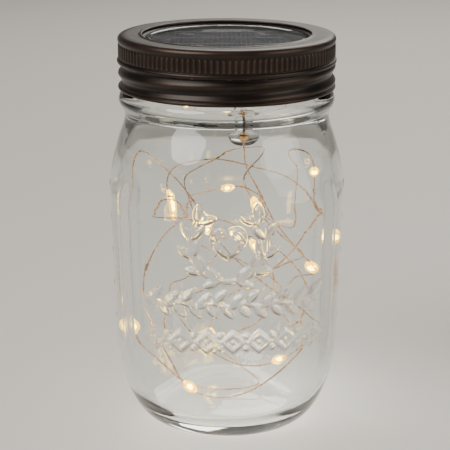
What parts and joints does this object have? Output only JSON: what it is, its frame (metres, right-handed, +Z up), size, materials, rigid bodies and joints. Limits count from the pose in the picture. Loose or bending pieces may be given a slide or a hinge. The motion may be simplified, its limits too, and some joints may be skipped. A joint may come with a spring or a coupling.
{
  "type": "mason jar lantern",
  "caption": "Clear relief-moulded glass mason jar with a dark screw band, a solar light insert in its mouth and a string of small warm lamps on fine copper wire inside.",
  "frame": {"origin": "middle of the jar's base, on the surface that it stands on", "axes": "+Z up through the mouth; -Y is the front panel with the raised wreath; +X to the right of it"},
  "size_m": [0.0804, 0.0804, 0.136],
  "materials": {
    "clear_glass": "clear pressed glass, slightly wavy, polished",
    "bronze_band": "oil-rubbed bronze lacquer on tinplate, satin",
    "black_plastic": "fine moulded texture, matte",
    "pale_rubber": "soft, matte",
    "board": "green solder mask, satin",
    "silicon": "dark blue cell with fine silver lines",
    "clear_resin": "clear cast resin or polycarbonate, glossy",
    "steel": "nickel plated",
    "cell_sleeve": "plain shrink sleeve over a metal can",
    "chip": "moulded epoxy",
    "ferrite": "sintered, dull",
    "can": "bare can",
    "copper_wire": "lacquered copper pair, twisted",
    "warm_lamp": "clear epoxy drop, lit from inside"
  },
  "bodies": {
    "jar": {"glass_jar": "clear_glass", "light_string_wire": "copper_wire", "led_bead_01": "warm_lamp", "led_bead_02": "warm_lamp", "led_bead_03": "warm_lamp", "led_bead_04": "warm_lamp", "led_bead_05": "warm_lamp", "led_bead_06": "warm_lamp", "led_bead_07": "warm_lamp", "led_bead_08": "warm_lamp", "led_bead_09": "warm_lamp", "led_bead_10": "warm_lamp", "led_bead_11": "warm_lamp", "led_bead_12": "warm_lamp", "led_bead_13": "warm_lamp", "led_bead_14": "warm_lamp", "led_bead_15": "warm_lamp", "led_bead_16": "warm_lamp"},
    "light_module": {"insert_housing": "black_plastic", "seal_gasket": "pale_rubber", "solar_board": "board", "solar_cell": "silicon", "panel_window": "clear_resin", "bottom_cover": "black_plastic", "cover_screw_1": "steel", "cover_screw_2": "steel", "cover_screw_3": "steel", "battery_cell": "cell_sleeve", "positive_contact": "steel", "negative_spring": "steel", "battery_tray": "black_plastic", "circuit_board": "board", "driver_chip": "chip", "inductor": "ferrite", "capacitor": "can", "switch_body": "steel", "wire_gland": "clear_resin"},
    "screw_band": {"screw_band": "bronze_band"},
    "switch_knob": {"switch_knob": "black_plastic"}
  },
  "joints": [
    {"name": "lid_lift", "type": "slide", "parent": "jar", "child": "light_module", "axis": [0, 0, 1], "range_m": [0, 0.0407]},
    {"name": "band_turn", "type": "hinge", "parent": "light_module", "child": "screw_band", "pos_m": [0, 0, 0], "axis": [0, 0, 1], "range_deg": [0, 2880]},
    {"name": "switch_slide", "type": "slide", "parent": "light_module", "child": "switch_knob", "axis": [1, 0, 0], "range_m": [0, 0.003]}
  ],
  "couplings": [
    {"joint": "lid_lift", "follows": "band_turn", "m_per_rad": 0.00080851}
  ]
}
